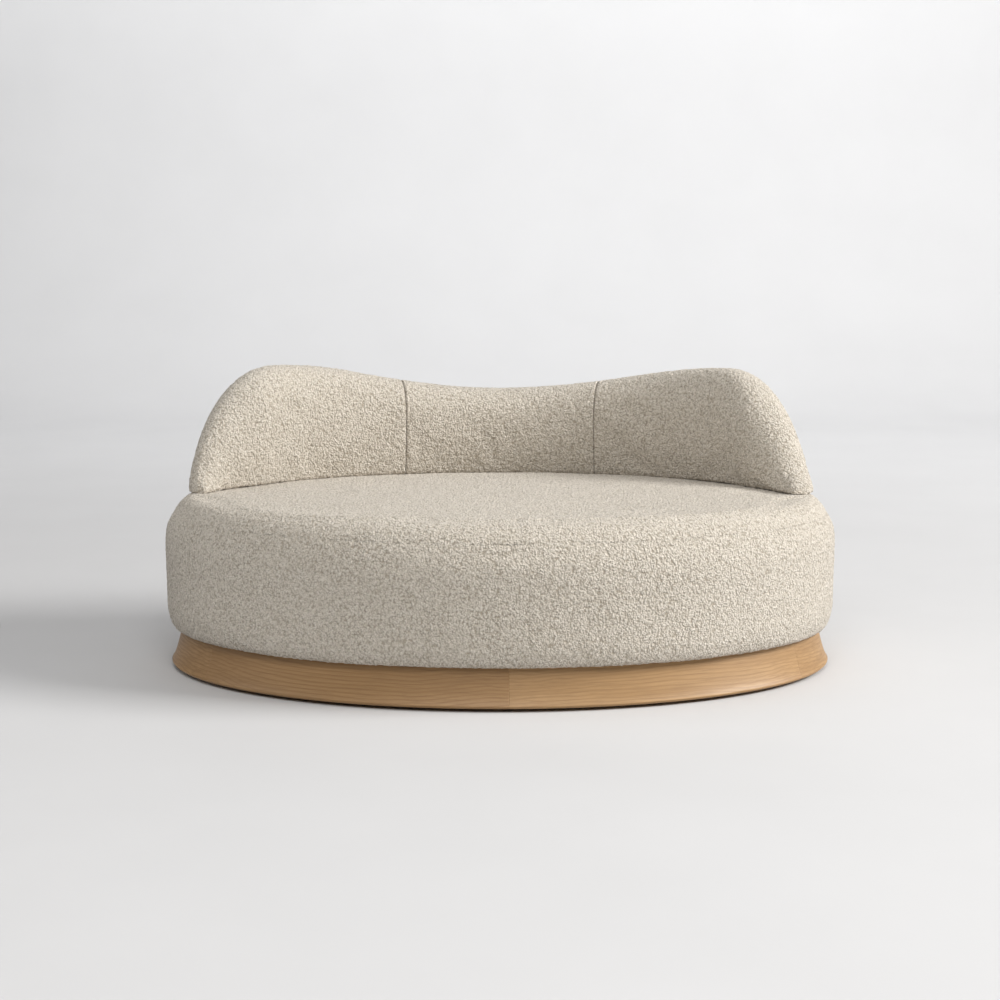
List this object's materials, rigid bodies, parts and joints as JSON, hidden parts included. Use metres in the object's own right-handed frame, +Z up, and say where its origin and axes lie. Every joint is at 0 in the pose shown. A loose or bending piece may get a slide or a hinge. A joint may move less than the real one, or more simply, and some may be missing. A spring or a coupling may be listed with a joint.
{
  "type": "sofa",
  "caption": "Low oval boucle sofa: a thick rounded seat drum on a flared solid oak plinth, with a wavy wrap-around back that sweeps down to the seat at both arms.",
  "frame": {"origin": "on the floor, at the middle of the oval plan", "axes": "+Z up, the open front faces -Y, +X is to the right of someone who looks at the front"},
  "size_m": [1.6794, 1.1496, 0.73],
  "materials": {
    "boucle": "matte",
    "oak": "satin",
    "black_ply": "matte",
    "birch_ply": "matte",
    "pine": "matte",
    "foam": "matte",
    "webbing": "matte",
    "steel": "satin",
    "nylon": "matte"
  },
  "bodies": {
    "root": {"back_block_centre": "pine", "back_block_inner_left": "pine", "back_block_inner_right": "pine", "back_block_outer_left": "pine", "back_block_outer_right": "pine", "back_bolt_centre": "steel", "back_bolt_inner_left": "steel", "back_bolt_inner_right": "steel", "back_bolt_outer_left": "steel", "back_bolt_outer_right": "steel", "back_bottom_rail": "birch_ply", "back_cover_centre": "boucle", "back_cover_left": "boucle", "back_cover_right": "boucle", "back_foam": "foam", "back_post_centre": "pine", "back_post_inner_left": "pine", "back_post_inner_right": "pine", "back_post_outer_left": "pine", "back_post_outer_right": "pine", "back_top_rail": "birch_ply", "dust_cover": "webbing", "glide_front": "nylon", "glide_front_left": "nylon", "glide_front_right": "nylon", "glide_rear": "nylon", "glide_rear_left": "nylon", "glide_rear_right": "nylon", "plinth_base_ring": "black_ply", "plinth_bolt_front_left": "steel", "plinth_bolt_front_right": "steel", "plinth_bolt_rear_left": "steel", "plinth_bolt_rear_right": "steel", "plinth_brace_left": "pine", "plinth_brace_long": "pine", "plinth_brace_right": "pine", "plinth_stave_front_left": "oak", "plinth_stave_front_right": "oak", "plinth_stave_left": "oak", "plinth_stave_rear_left": "oak", "plinth_stave_rear_right": "oak", "plinth_stave_right": "oak", "seat_border_foam": "foam", "seat_cover_band": "boucle", "seat_cover_top": "boucle", "seat_foam": "foam", "seat_lower_ring": "birch_ply", "seat_upper_ring": "birch_ply", "seat_upright_front_left": "pine", "seat_upright_front_right": "pine", "seat_upright_left": "pine", "seat_upright_rear_left": "pine", "seat_upright_rear_right": "pine", "seat_upright_right": "pine", "webbing_long_1": "webbing", "webbing_long_2": "webbing", "webbing_short_1": "webbing", "webbing_short_2": "webbing", "webbing_short_3": "webbing", "webbing_short_4": "webbing"}
  },
  "joints": []
}
